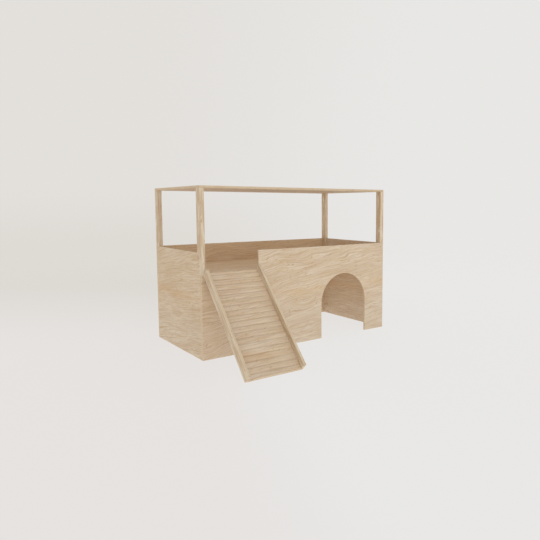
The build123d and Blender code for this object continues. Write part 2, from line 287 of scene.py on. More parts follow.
def maple_plywood(
    name, centre, along, across, thickness, seed, heart, lean=0.0, tint=PLAIN, back=PLAIN, waves=BROAD_WAVES,
    gloss=0.35, plies=5, face_ply=1.2,
):
    """Rotary cut maple plywood, sanded and left bare. The veneer is peeled off the log, so its
    growth lines run along the sheet, leaning by a slope, as long wavy contours with short dark
    curls. A soft band of orange heartwood lies along it, and below that the wood is painted greyer
    and cooler, as painted cool light from the floor. The edges show the plies, every second one as
    darker end grain."""
    colours = settings("colours")
    made = bpy.data.materials.new(name)
    node = bare_nodes(made)
    along, across = Vector(along), Vector(across)
    place = grain_place(node, centre, along + lean * across, across - lean * along)
    x, y, z = node("SeparateXYZ", (place,)).outputs
    lines, grain = growth_lines(node, place, seed, 4.6, waves)

    # Broad clouds, growth lines and fine streaks give the soft brown figure that runs along the sheet
    clouds = stretched(node, grain, (160, 26, 60), 3.0)
    fine = stretched(node, grain, (64, 1.7, 8), 2.0, 0.6, lean=0.04)
    tone = laid(node, colours.veneer, clouds, 0.36, 0.66, 0.3, colours.figure)
    weak_lines = node("Math", (lines, 0.6), "MULTIPLY")
    tone = node("Mix", (weak_lines, tone, colours.figure), **OVER)
    tone = laid(node, tone, fine, 0.48, 0.68, 0.66, colours.figure)

    # Painted cool light from the floor: the wood turns greyer and cooler over 90 mm below the heart,
    # whose streak wanders with the clouds
    level = node("Math", (x, lean, y), "MULTIPLY_ADD")
    above_heart = node("Math", (level, heart), "SUBTRACT")
    painted_cool_light = node("MapRange", (above_heart, -90.0, 0.0, 0.7, 0.0), **SMOOTH)
    tone = node("Mix", (painted_cool_light, tone, COOL_FLOOR_LIGHT_TINT), **TINTED)
    off_heart = node("Math", (above_heart,), "ABSOLUTE")
    wobble = node("Math", (clouds, -34.0, off_heart), "MULTIPLY_ADD")
    streak = node("MapRange", (wobble, -24.0, 0.0, 0.34, 0.0), **SMOOTH)
    tone = node("Mix", (streak, tone, colours.heart), **OVER)

    # Warm patches and short dark curls break the lines up. The hairs are the wood's vessels, which are
    # under 0.1 mm wide and too fine to show, so they are drawn 0.5 mm wide
    patches = stretched(node, grain, (52, 9, 20))
    curls = stretched(node, grain, (13, 2.7, 20), 1.0, 0.4, lean=0.35)
    hairs = stretched(node, grain, (26, 0.5, 1.5), 2.0, 0.6)
    tone = laid(node, tone, patches, 0.44, 0.62, 0.75, WARM_PATCH, TINTED)
    tone = laid(node, tone, curls, 0.65, 0.77, 0.75, colours.fleck)
    tone = laid(node, tone, hairs, 0.36, 0.74, 0.36, colours.figure)

    # Each sheet is cut from another log, so it has its own tint, and the side behind has one too.
    # Some tints are painted light: the deck's bright one, the roof's dark one behind, and the right wall's
    tone = node("Mix", (1.0, tone, tint), **TINTED)
    behind = node("Math", (z, face_ply - thickness / MM / 2), "LESS_THAN")
    tone = node("Mix", (behind, tone, back), **TINTED)
    depth = node("Math", (z,), "ABSOLUTE")
    tone = ply_edges(node, tone, place, depth, thickness, plies, face_ply)
    finish_wood(node, tone, lines, hairs, curls, gloss)
    return made


def ply_edges(node, tone, place, depth, thickness, plies, face_ply):
    """The plies at a sheet's edges, by their distance from its middle: the ones that cross the faces
    show rough darker end grain, and a glue line 0.18 mm wide lies along each side of them."""
    colours = settings("colours")
    face_start = thickness / MM / 2 - face_ply
    cross_start = face_start - 2 * face_start / (plies - 2)
    end_grain = stretched(node, place, (0.7, 0.7, 0.5))
    end_grain = node("MapRange", (end_grain, 0.35, 0.7, 0.1, 0.6), **SMOOTH)
    ply_tone = node("Mix", (end_grain, colours.cross_ply, colours.glue), **OVER)
    inside = node("Math", (depth, face_start - 0.06), "LESS_THAN")
    outside = node("Math", (depth, cross_start), "GREATER_THAN")
    crossing = node("Math", (inside, outside), "MULTIPLY")
    tone = node("Mix", (crossing, tone, ply_tone), **OVER)
    off_glue = []
    for at in (face_start, cross_start):
        off = node("Math", (depth, at), "SUBTRACT")
        off_glue.append(node("Math", (off,), "ABSOLUTE"))
    nearest = node("Math", off_glue, "MINIMUM")
    glued = node("Math", (nearest, 0.09), "LESS_THAN")
    share = node("Math", (glued, 0.7), "MULTIPLY")
    return node("Mix", (share, tone, colours.glue), **OVER)


def planed_maple(name, centre, along, across, seed, ring=2.6, pith=(60.0, 45.0), tint=PLAIN):
    """Solid maple, planed and left bare. The growth rings are cylinders round a pith outside the
    piece, sqrt((y + py)^2 + (z + pz)^2) over the ring's width, so each side shows its own straight or
    arched lines."""
    colours = settings("colours")
    made = bpy.data.materials.new(name)
    node = bare_nodes(made)
    place = grain_place(node, centre, along, across)
    _, grain = growth_lines(node, place, seed, ring, TIMBER_WAVES)
    squares = []
    for part, offset in zip(node("SeparateXYZ", (grain,)).outputs[1:], pith):
        from_pith = node("Math", (part, offset), "ADD")
        squares.append(node("Math", (from_pith, 2.0), "POWER"))
    total = node("Math", squares, "ADD")
    radius = node("Math", (total,), "SQRT")
    count = node("Math", (radius, ring), "DIVIDE")
    late = saw_tooth(node, node("Math", (count,), "FRACT"), 0.2, 0.85)

    # Clouds and rings give the pale and dark bands, and mineral stripes a pinkish cast
    clouds = stretched(node, grain, (70, 6, 6))
    stripes = stretched(node, grain, (80, 4.2, 4.2))
    tone = laid(node, colours.timber, clouds, 0.4, 0.66, 0.75, colours.timber_late)
    weak_rings = node("Math", (late, 0.5), "MULTIPLY")
    tone = node("Mix", (weak_rings, tone, colours.timber_late), **OVER)
    tone = laid(node, tone, stripes, 0.5, 0.62, 0.32, colours.stripe)

    # Short dark curls, and the vessels as hairs drawn 0.5 mm wide, as in the plywood
    curls = stretched(node, grain, (15, 2.4, 2.4), 1.0, 0.4, lean=0.2)
    hairs = stretched(node, grain, (24, 0.5, 0.5), 2.0, 0.6)
    tone = laid(node, tone, curls, 0.62, 0.78, 0.8, colours.fleck)
    tone = laid(node, tone, hairs, 0.3, 0.8, 0.22, colours.timber_late)
    tone = node("Mix", (1.0, tone, tint), **TINTED)
    finish_wood(node, tone, late, hairs, curls)
    return made


def finish_wood(node, tone, lines, hairs, curls, gloss=0.35):
    """The bare sanded surface: fine raised fibres, edges rubbed paler and smoother, and a low even sheen.
    The same paler colour is also laid on the ramp's treads as a painted highlight. Where the attribute is
    below nothing, painted shade darkens the wood, in the ramp's grooves and at the rails' feet."""
    colours = settings("colours")
    wear_and_painted_light = node("Attribute", attribute_name="wear_and_painted_light").outputs["Fac"]
    # Above nothing the rubbed colour is laid on, for worn edges and the painted highlight; below nothing the dark
    # fleck colour, as painted shade
    for share, over in ((0.3, colours.wear_and_painted_light), (-0.16, colours.fleck)):
        tone = node("Mix", (node("Math", (wear_and_painted_light, share), "MULTIPLY"), tone, over), **OVER)
    height = node("Math", (lines, 0.5, hairs), "MULTIPLY_ADD")
    height = node("Math", (curls, -0.5, height), "MULTIPLY_ADD")
    bump = node("Bump", {"Strength": 0.5, "Distance": 0.08 * MM, "Height": height})
    rough = node("MapRange", (hairs, 0.2, 0.8, 0.5, 0.66), **SMOOTH)
    rough = node("Math", (wear_and_painted_light, -0.08, rough), "MULTIPLY_ADD")
    wood = {"Base Color": tone, "Roughness": rough, "IOR": 1.45, "Specular IOR Level": gloss, "Normal": bump}
    node("OutputMaterial", (node("BsdfPrincipled", wood),))


def plated_steel(name, base, rough, line):
    """Zinc plated or bright drawn steel: a grey metal, clouded in small patches, whose drawing lines
    blur what it mirrors. Real lines are a few hundredths of a millimetre wide and too fine to show, so
    they are drawn a few tenths wide."""
    made = bpy.data.materials.new(name)
    node = bare_nodes(made)
    where = node("TexCoord").outputs["Object"]
    place = node("Mapping", {"Vector": where, "Scale": (1 / MM,) * 3})
    lines = stretched(node, place, (9, line, line), 3.0)
    patches = stretched(node, place, (2.2, 2.2, 2.2))
    tone = laid(node, base, patches, 0.35, 0.7, 0.35, tuple(0.72 * each for each in base))
    bump = node("Bump", {"Strength": 0.35, "Distance": 0.03 * MM, "Height": lines})
    blur = node("MapRange", (lines, 0.3, 0.7, rough, rough + 0.15), **SMOOTH)
    metal = {"Base Color": tone, "Metallic": 1.0, "Roughness": blur, "Normal": bump}
    node("OutputMaterial", (node("BsdfPrincipled", metal),))
    return made


# Outlines and slabs


def closed_wave(count, cycles, seed):
    """A gentle closed wave of count values: the sum of five sines round the outline, each with its own
    whole number of cycles and phase, divided so that it stays within about one."""
    draw = np.random.default_rng(seed)
    turns = np.linspace(0, 2 * np.pi, count, endpoint=False)[:, None]
    beats = draw.integers(cycles // 3 + 1, cycles + 1, 5)
    return np.sin(turns * beats + draw.uniform(0, 2 * np.pi, 5)).sum(1) / 3.2


def block_outline(low, high, radius):
    """A rectangle's corners and radii for rounded_outline."""
    corners = [(low[0], low[1]), (high[0], low[1]), (high[0], high[1]), (low[0], high[1])]
    return corners, [radius] * 4


def rounded_outline(corners, radii, inset=0.0, step=5 * MM):
    """A closed outline with each corner turned on an arc: point = centre + radius * (cos, sin) over the
    corner's turn, and straight runs between them. An inset outline has the same count of points, its
    corners moved in along the mitre, (n0 + n1) / (1 + n0 . n1), and its arcs' radii changed by the inset."""
    corners, radii = np.array(corners, float), np.array(radii, float)
    into = corners - np.roll(corners, 1, 0)
    spans = np.linalg.norm(into, axis=1)
    into /= spans[:, None]
    onward = np.roll(into, -1, 0)
    turn = np.arctan2(into[:, 0] * onward[:, 1] - into[:, 1] * onward[:, 0], (into * onward).sum(1))
    side_in, side_on = into[:, ::-1] * (-1, 1), onward[:, ::-1] * (-1, 1)
    trimmed = radii * np.tan(np.abs(turn) / 2)
    runs = np.roll(spans, -1) - trimmed - np.roll(trimmed, -1)
    mitre = (side_in + side_on) / (1 + (side_in * side_on).sum(1))[:, None]
    moved = corners + inset * mitre
    inner = np.clip(radii - np.sign(turn) * inset, 0.05 * MM, None)
    cut_back = (inner * np.tan(np.abs(turn) / 2))[:, None]
    starts, ends = moved - into * cut_back, moved + onward * cut_back
    pieces = []
    for i, (radius, angle) in enumerate(zip(inner, turn)):
        count = max(4, math.ceil(radii[i] * abs(angle) / (2 * MM)))
        spin = np.linspace(0, angle, count + 1)
        centre = starts[i] + np.sign(angle) * radius * side_in[i]
        out = starts[i] - centre
        arc = centre + np.stack(
            [out[0] * np.cos(spin) - out[1] * np.sin(spin), out[0] * np.sin(spin) + out[1] * np.cos(spin)], 1
        )
        parts = max(1, round(runs[i] / step))
        share = (np.arange(1, parts) / parts)[:, None]
        pieces += [arc, ends[i] + (starts[(i + 1) % len(corners)] - ends[i]) * share]
    return np.concatenate(pieces)


def head_places(names, place):
    """The middle of each fastener head in a piece's outer face, as (x, y) of its place: every point of
    the heads' faces takes the middle of the box round the points within 7 mm, and equal ones are one."""
    origin, across, up, inward = (np.array(each, float) for each in place)
    keep = np.array([across, up])
    found = []
    for name in names:
        mesh = frame["nodes"][name].data
        points = np.empty(len(mesh.vertices) * 3, np.float32)
        mesh.vertices.foreach_get("co", points)
        points = points.reshape(-1, 3).astype(float)
        points = points[np.abs((points - origin) @ inward) < 0.03 * MM] @ keep.T
        near = (np.linalg.norm(points[:, None] - points[None], axis=2) < 7 * MM)[..., None]
        low, high = np.where(near, points[None], np.inf).min(1), np.where(near, points[None], -np.inf).max(1)
        found.append(np.unique(np.round((low + high) / 2, 5), axis=0) - keep @ origin)
    return np.concatenate(found)


def filled(rim, heads=(), radius=0.0):
    """Triangles that fill a flat outline round its round pits, by constrained Delaunay triangulation.
    Those whose middle lies inside a pit are left out."""
    loops = [rim, *(head + radius * CIRCLE for head in heads)]
    points = np.concatenate(loops)
    starts = np.cumsum([0] + [len(loop) for loop in loops])
    edges = np.concatenate(
        [np.stack([np.arange(a, b), np.roll(np.arange(a, b), -1)], 1) for a, b in zip(starts, starts[1:])]
    )
    found = geometry.delaunay_2d_cdt((points / MM).tolist(), edges.tolist(), [], 1, 1e-5)
    # It numbers its points anew, and its fourth list says which of the given ones each of them is
    source = np.array([each[0] for each in found[3]])
    faces = source[np.array(found[2])]
    for head in heads:
        faces = faces[np.linalg.norm(points[faces].mean(1) - head, axis=1) > radius]
    return faces


def quads_between(first, second):
    """Four sided faces between two closed rings of point numbers."""
    return np.stack([first, np.roll(first, -1), np.roll(second, -1), second], 1)


def slab(rim, lean, depth, arris, fade=None, heads=(), pit=PIN_PIT, rows=(), swell=None, reshape=None, painted_light_and_wear=None):
    """A closed slab carried from level 0 to its depth. Point(u, v) = rim(u) + inset(u, v) * lean(u) at
    level(u, v): over each arris inset = a (1 - sin t) and level = a (1 - cos t) for t from 0 to a quarter
    turn, and between them inset = 0, or a small swell, at each row's share of the depth. A reshape moves
    the rings last, and a fade adds an outline further in to both faces. Each head gets a round pit of
    rings. Gives points (x, y, level), faces and how rubbed each point is: 1 on the arrises, 0 on the
    faces, and over that the added wear and painted light for its share of the depth, which real wear
    and a painted highlight raise and painted shade takes below nothing."""
    count = len(rim)
    near, far = (np.broadcast_to(np.asarray(each, float), count) for each in arris)
    t = np.linspace(0, np.pi / 2, 4)[:, None]
    back = t[::-1]
    rings = [(near * (1 - np.sin(t)), near * (1 - np.cos(t)), np.ones((4, 1)))]
    for level in (near + SIDE_BAND, *(np.full(count, depth * share) for share in rows), depth - far - SIDE_BAND):
        bulge = np.zeros(count) if swell is None else swell(level / depth)
        rings.append((bulge[None], level[None], np.zeros((1, 1))))
    rings.append((far * (1 - np.sin(back)), depth - far * (1 - np.cos(back)), np.ones((4, 1))))
    insets, levels, wear_and_painted_light = (
        np.concatenate([np.broadcast_to(ring[k], (len(ring[0]), count)) for ring in rings]) for k in range(3)
    )
    flat = rim[None] + insets[..., None] * lean[None]
    # Added wear and painted light: real wear and a painted highlight raise it, painted shade lowers it
    if painted_light_and_wear is not None:
        wear_and_painted_light = wear_and_painted_light + painted_light_and_wear(levels / depth)
    if reshape is not None:
        flat = reshape(flat, levels)
    if fade is not None:
        plain = np.zeros((1, count))
        flat = np.concatenate([fade[None], flat, fade[None]])
        levels = np.concatenate([plain, levels, plain + depth])
        wear_and_painted_light = np.concatenate([plain, wear_and_painted_light, plain])
    grid = np.arange(flat.shape[0] * count).reshape(-1, count)
    points = np.concatenate([flat, levels[..., None]], 2).reshape(-1, 3)
    wear_and_painted_light = wear_and_painted_light.ravel()
    smooth = [quads_between(a, b) for a, b in zip(grid, grid[1:])]

    heads, pit = np.reshape(heads, (-1, 2)), np.array(pit)
    shape = (len(heads), len(pit), len(CIRCLE))
    walls = heads[:, None, None] + pit[None, :, None, :1] * CIRCLE
    depths = np.broadcast_to(pit[None, :, None, 1:], (*shape, 1))
    pits = len(points) + np.arange(math.prod(shape)).reshape(shape)
    smooth += [quads_between(a, b)[:, ::-1] for rings in pits for a, b in zip(rings, rings[1:])]
    owner = np.concatenate([grid[0], pits[:, 0].ravel()])
    outer_face = owner[filled(flat[0], heads, pit[0, 0])][:, ::-1]
    return {
        "points": np.concatenate([points, np.concatenate([walls, depths], 3).reshape(-1, 3)]),
        "smooth": smooth,
        "flat": [outer_face, grid[-1][filled(flat[-1])], pits[:, -1, ::-1]],
        "wear_and_painted_light": np.concatenate([wear_and_painted_light, np.zeros(pits.size)]),
    }


def cut_slab(corners, radii, depth, arris, band, seed, arrises=(1, 1), step=5 * MM, **details):
    """A slab with straight sawn sides. Its arris wanders by a third of its size round the outline."""
    rim = rounded_outline(corners, radii, step=step)
    lean = (rounded_outline(corners, radii, arris, step) - rim) / arris
    wander = arris * (1 + 0.33 * closed_wave(len(rim), len(rim) // 7, seed))
    fade = rounded_outline(corners, radii, band) if band else None
    ends = tuple(np.maximum(share * wander, 0.02 * MM) for share in arrises)
    return slab(rim, lean, depth, ends, fade, **details)


def build_piece(name, shell, place, body, slot, material, *nodes):
    """Makes one object of a closed shell whose points (x, y, level) go to origin + x * across + y * up +
    level * inward. Where that mirrors them, which a positive triple product shows, the faces turn round."""
    origin, across, up, inward = (np.array(each, float) for each in place)
    mirrored = np.dot(np.cross(across, up), inward) > 0
    faces, smooth = [], []
    for kind in ("smooth", "flat"):
        for group in shell[kind]:
            faces += (group if mirrored else group[:, ::-1]).tolist()
            smooth += [kind == "smooth"] * len(group)
    mesh = bpy.data.meshes.new(name)
    mesh.from_pydata((origin + shell["points"] @ np.array([across, up, inward])).tolist(), [], faces)
    mesh.attributes.new("wear_and_painted_light", "FLOAT", "POINT").data.foreach_set("value", shell["wear_and_painted_light"].astype(np.float32))
    mesh.polygons.foreach_set("use_smooth", smooth)
    mesh.materials.append(material)
    mesh.validate()
    piece = new_object(name, mesh)
    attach(piece, body)
    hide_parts(*nodes)
    return piece


def new_object(name, data):
    """One object at the origin, linked to the scene."""
    made = bpy.data.objects.new(name, data)
    bpy.context.scene.collection.objects.link(made)
    return made


# Operators


class PIGHOUSE_OT_walls(bpy.types.Operator):
    """Build the four plywood walls with the arched doorway and the lowered entry"""

    bl_idname = "pig_house.walls"
    bl_label = "Walls"

    def execute(self, context):
        sizes = settings("sheets")
        # Name, the arris's seed, the figure's seed, the heart's height, the grain's lean, tint and waves.
        # The right wall's tint is painted light, brighter and cooler, so that the den seen through the doorway
        # looks lit
        walls = (
            ("front", 3, 1.3, 147.0, 0.11, PLAIN, BROAD_WAVES),
            ("back", 4, 2.7, 88.0, 0.05, (1.04, 0.99, 0.92), BROAD_WAVES),
            ("left", 5, 5, 150.0, -0.17, (0.98, 0.96, 0.915), CALM_WAVES),
            ("right", 6, 6, 115.0, -0.1, (1.02, 1.02, 1.035), BROAD_WAVES),
        )
        for name, arris_seed, seed, heart, lean, tint, waves in walls:
            low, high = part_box(name + "_panel")
            middle = (low + high) / 2
            place = {
                "front": ((low.x, low.y, 0), X, Z, Y),
                "back": ((high.x, high.y, 0), LEFTWARD, Z, FRONTWARD),
                "left": ((low.x, low.y, 0), Y, Z, X),
                "right": ((high.x, low.y, 0), Y, Z, LEFTWARD),
            }[name]
            if name in ("front", "back"):
                run, width, thick, centre = X, high.x - low.x, high.y - low.y, (low.x, middle.y, 0)
            else:
                run, width, thick, centre = Y, high.y - low.y, high.x - low.x, (middle.x, low.y, 0)
            outline = block_outline((0, 0), (width, high.z), sizes.corner)
            if name == "front":
                outline = self.front_outline(sizes, width, high.z)
            heads = head_places(("panel_pins", "post_pins"), place)
            sheet = cut_slab(*outline, thick, sizes.arris, sizes.rubbed_band, arris_seed, heads=heads)
            wood = maple_plywood(
                "maple_plywood_" + name, centre, run, Z, thick, seed, heart, lean=lean, tint=tint, waves=waves
            )
            build_piece(name + "_wall_sheet", sheet, place, "house", "plywood_face", wood, name + "_panel")
        return {"FINISHED"}

    @staticmethod
    def front_outline(sizes, width, height):
        """Corners and radii of the front wall, anticlockwise from its lower left corner: the doorway's
        head is two quarter arcs of half its width, and the lowered part ends in a wider inner corner."""
        corner, arch, door_right = sizes.corner, sizes.door_width / 2, sizes.door_left + sizes.door_width
        corners = (
            ((0, 0), corner), ((sizes.door_left, 0), corner), ((sizes.door_left, sizes.door_height), arch),
            ((door_right, sizes.door_height), arch), ((door_right, 0), corner), ((width, 0), corner),
            ((width, height), corner), ((sizes.entry_width, height), corner),
            ((sizes.entry_width, sizes.entry_height), 2 * corner), ((0, sizes.entry_height), corner),
        )
        return tuple(zip(*corners))


class PIGHOUSE_OT_deck_and_roof(bpy.types.Operator):
    """Build the loft's deck and the flat roof"""

    bl_idname = "pig_house.deck_and_roof"
    bl_label = "Deck and Roof"

    def execute(self, context):
        sizes = settings("sheets")
        # Name, slot, fasteners and their pits, seed, gloss, tint of the upper side and of the lower one.
        # The deck's bright upper tint is painted light, making up for the light that the roof keeps off it,
        # and the roof's dark brown lower tint is painted shade under the roof
        sheets = (
            ("deck", "plywood_inside", "deck_pins", PIN_PIT, 8, 0.12, (1.24, 1.24, 1.2), PLAIN),
            ("roof", "plywood_face", "roof_screws", SCREW_PIT, 9, 0.35, (1.01, 1.02, 1.03), (0.85, 0.755, 0.64)),
        )
        for name, slot, fasteners, pit, seed, gloss, tint, back in sheets:
            low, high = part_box(name)
            thick = high.z - low.z
            place = ((low.x, low.y, high.z), X, Y, DOWNWARD)
            sheet = cut_slab(
                *block_outline((0, 0), (high.x - low.x, high.y - low.y), sizes.corner), thick, sizes.arris,
                sizes.rubbed_band, seed, heads=head_places((fasteners,), place), pit=pit,
            )
            wood = maple_plywood(
                "maple_plywood_" + name, (low + high) / 2, X, Y, thick, seed, -40.0, tint=tint, back=back,
                gloss=gloss,
            )
            build_piece(name + "_sheet", sheet, place, "house", slot, wood, name)
        return {"FINISHED"}


class PIGHOUSE_OT_posts(bpy.types.Operator):
    """Build the four corner posts with their lapped feet"""

    bl_idname = "pig_house.posts"
    bl_label = "Posts"

    def execute(self, context):
        arris = settings("timber").arris
        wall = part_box("front_panel")[1].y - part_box("front_panel")[0].y
        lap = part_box("left_panel")[1].z
        posts = (
            (21, "front_left", (1.0, 1.03, 1.04)),
            (22, "front_right", (1.01, 0.99, 0.96)),
            (23, "rear_left", (0.95, 0.94, 0.92)),
            (27, "rear_right", (1.0, 0.99, 0.96)),
        )
        for seed, name, tint in posts:
            low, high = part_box("post_" + name)
            tall = high.z - low.z
            share = (lap - low.z) / tall
            edge = 0.4 * MM / tall
            rows = (share / 3, share * 2 / 3, share - edge, share - 1e-5, share + 1e-5, share + edge)
            post = cut_slab(
                *block_outline(low[:2], high[:2], arris), tall, arris, 0, seed, arrises=(0.5, 0.6),
                rows=(*rows, *np.linspace(share, 1, 9)[1:-1]), step=0.4 * MM,
                reshape=self.rebate(name, low, high, lap - low.z, wall),
            )
            wood = planed_maple("planed_maple_post_" + name, (low + high) / 2, Z, X, seed * 0.7, tint=tint)
            build_piece(
                "corner_post_" + name, post, ((0, 0, low.z), X, Y, Z), "house", "post_wood", wood, "post_" + name
            )
        return {"FINISHED"}

    @staticmethod
    def rebate(name, low, high, lap, wall):
        """The cut that makes room for the walls round a post's foot, below the lap. Three posts shrink
        there evenly to what is left, start + (end - start) * (p - low) / (high - low). The front left
        one stands over the lowered front wall, and only its outer rear corner turns in: a run u along
        the edge to the corner becomes a run u * reach or u / reach along the edges of the notch."""
        notch_corner = np.array([low.x + wall, high.y])
        reach = (high.y - low.y - wall) / wall
        start = np.array([low.x + wall * ("left" in name), low.y + wall * ("front" in name)])
        end = np.array([high.x - wall * ("right" in name), high.y - wall * ("rear" in name)])
        full_start, full_end = np.array(low[:2]), np.array(high[:2])

        def cut(flat, levels):
            """Moves the points (x, y) of every ring below the lap."""
            foot = levels < lap
            if name == "front_left":
                foot = foot & (flat[..., 0] < low.x + wall) & (flat[..., 1] > low.y + wall)
                over, up = np.moveaxis(notch_corner - flat, 2, 0)
                moved = notch_corner - np.stack([up / reach, over * reach], -1)
            else:
                moved = start + (end - start) * (flat - full_start) / (full_end - full_start)
            return np.where(foot[..., None], moved, flat)

        return cut


class PIGHOUSE_OT_bearers(bpy.types.Operator):
    """Build the four bearers under the deck"""

    bl_idname = "pig_house.bearers"
    bl_label = "Bearers"

    def execute(self, context):
        arris = settings("timber").arris
        for seed, name in enumerate(("front", "rear", "left", "right"), 31):
            low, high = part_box("bearer_" + name)
            size = high - low
            run, side, long, wide = (X, Y, size.x, size.y) if name in ("front", "rear") else (Y, X, size.y, size.x)
            bar = cut_slab(
                *block_outline((0, 0), (wide, size.z), arris), long, arris, 0, seed, arrises=(0.5, 0.5),
                rows=np.linspace(0.03, 0.97, 20),
            )
            wood = planed_maple("planed_maple_bearer_" + name, (low + high) / 2, run, Z, seed * 0.6, ring=3.1)
            build_piece(
                "deck_bearer_" + name, bar, (low, side, Z, run), "house", "bearer_wood", wood, "bearer_" + name
            )
        return {"FINISHED"}


def ramp_axes():
    """The hinge's place, and the ramp's directions down its slope and out of its face at rest."""
    sizes = settings("timber")
    hinge = np.array(frame["joints"][0]["pos_m"], float)
    reach = math.hypot(sizes.ramp_length, sizes.ramp_gap)
    slope = math.asin(hinge[2] / reach) + math.atan2(sizes.ramp_gap, sizes.ramp_length)
    down = np.array([0, -math.cos(slope), -math.sin(slope)])
    return hinge, down, np.array([0, -math.sin(slope), math.cos(slope)])


class PIGHOUSE_OT_ramp_board(bpy.types.Operator):
    """Build the ramp's board with its scooped grooves"""

    bl_idname = "pig_house.ramp_board"
    bl_label = "Ramp Board"

    def execute(self, context):
        sizes = settings("timber")
        hinge, down, out = ramp_axes()
        low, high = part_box("ramp_board")
        # The profile's third part is painted shade for the grooves' lower sides
        rim, lean, groove_shade = self.profile(sizes)
        waves = np.random.default_rng(12).uniform(0, 2 * np.pi, 3)
        on_top = (rim[:, 1] > sizes.ramp_gap + sizes.board / 2).astype(float)

        def swell(level):
            """A cutter's slight wander: 0.06 mm times two crossed sines along and across the ramp."""
            along = np.sin(rim[:, 0] / (23 * MM) + waves[0]) + np.sin(rim[:, 0] / (7.3 * MM) + waves[1])
            return on_top * 0.06 * MM * (1 + along * np.sin(level * 11 + waves[2]) / 2)

        def painted_light_and_wear(share):
            """Painted highlight, paler towards the right of the top as a smooth step of the share from left to
            right, less the painted shade in the grooves.
            """
            step = np.clip((share - 0.45) / 0.3, 0, 1)
            return on_top * 0.65 * step**2 * (3 - 2 * step) - groove_shade

        board = slab(
            rim, lean, high.x - low.x, (0.25 * MM, 0.25 * MM), rows=np.linspace(0.04, 0.96, 24), swell=swell,
            painted_light_and_wear=painted_light_and_wear,
        )
        centre = hinge + down * sizes.ramp_length / 2 + out * (sizes.ramp_gap + sizes.board / 2)
        wood = maple_plywood(
            "maple_plywood_ramp", (low.x, *centre[1:]), X, tuple(-down), sizes.board, 11.0, -88.0,
            tint=(1.06, 1.05, 1.05), waves=SHORT_WAVES, plies=3, face_ply=2.0,
        )
        build_piece(
            "grooved_ramp_board", board, ((low.x, hinge[1], hinge[2]), down, out, X), "ramp", "ramp_board_wood",
            wood, "ramp_board",
        )
        return {"FINISHED"}

    @staticmethod
    def profile(sizes, steps=1160, under=60, half=8):
        """The board's side view: its top is H - sum of scoops, each an arc sqrt(R^2 - (s - c)^2) - (R - depth),
        blurred over the crest rounding, half being the blur's steps to each side, its ends rounded over;
        lean is the outline's inward normal. Painted shade lies against each scoop's lower side as half a
        sine wave from its middle to its edge, darkening the groove where shade falls."""
        run, lift, round_end = sizes.ramp_length, sizes.ramp_gap, sizes.ramp_end
        radius = (sizes.groove_width**2 / 4 + sizes.groove_depth**2) / (2 * sizes.groove_depth)
        s = np.linspace(run, 0, steps + 1)
        from_foot = run - s
        last = int((run - sizes.groove_foot - sizes.groove_width / 2) / sizes.groove_pitch)
        index = np.clip(np.round((from_foot - sizes.groove_foot) / sizes.groove_pitch), 0, last)
        nearest = sizes.groove_foot + index * sizes.groove_pitch
        arc = np.sqrt(np.clip(radius**2 - (from_foot - nearest) ** 2, 0, None)) - (radius - sizes.groove_depth)
        reach = np.arange(-half, half + 1) * (run / steps)
        blur = np.exp(-((reach / sizes.crest) ** 2) * 2)
        scoop = np.convolve(np.pad(np.clip(arc, 0, None), half, mode="edge"), blur / blur.sum(), "valid")
        edge = np.minimum(s, run - s)
        drop = round_end - np.sqrt(np.clip(2 * round_end * edge - edge**2, 0, round_end**2))
        upper = np.stack([s, lift + sizes.board - scoop - np.where(edge < round_end, drop, 0)], 1)
        lower = np.stack([np.linspace(0, run, under), np.full(under, lift)], 1)
        rim = np.concatenate([lower, upper])
        step = np.roll(rim, -1, 0) - np.roll(rim, 1, 0)
        lean = step[:, ::-1] * (-1, 1) / np.linalg.norm(step, axis=1)[:, None]
        # Painted shade: darker against the lower side of each groove, where shade falls
        below = np.clip((nearest - from_foot) / (sizes.groove_width / 2), 0, 1)
        return rim, lean, np.concatenate([np.zeros(under), np.sin(np.pi * below)])


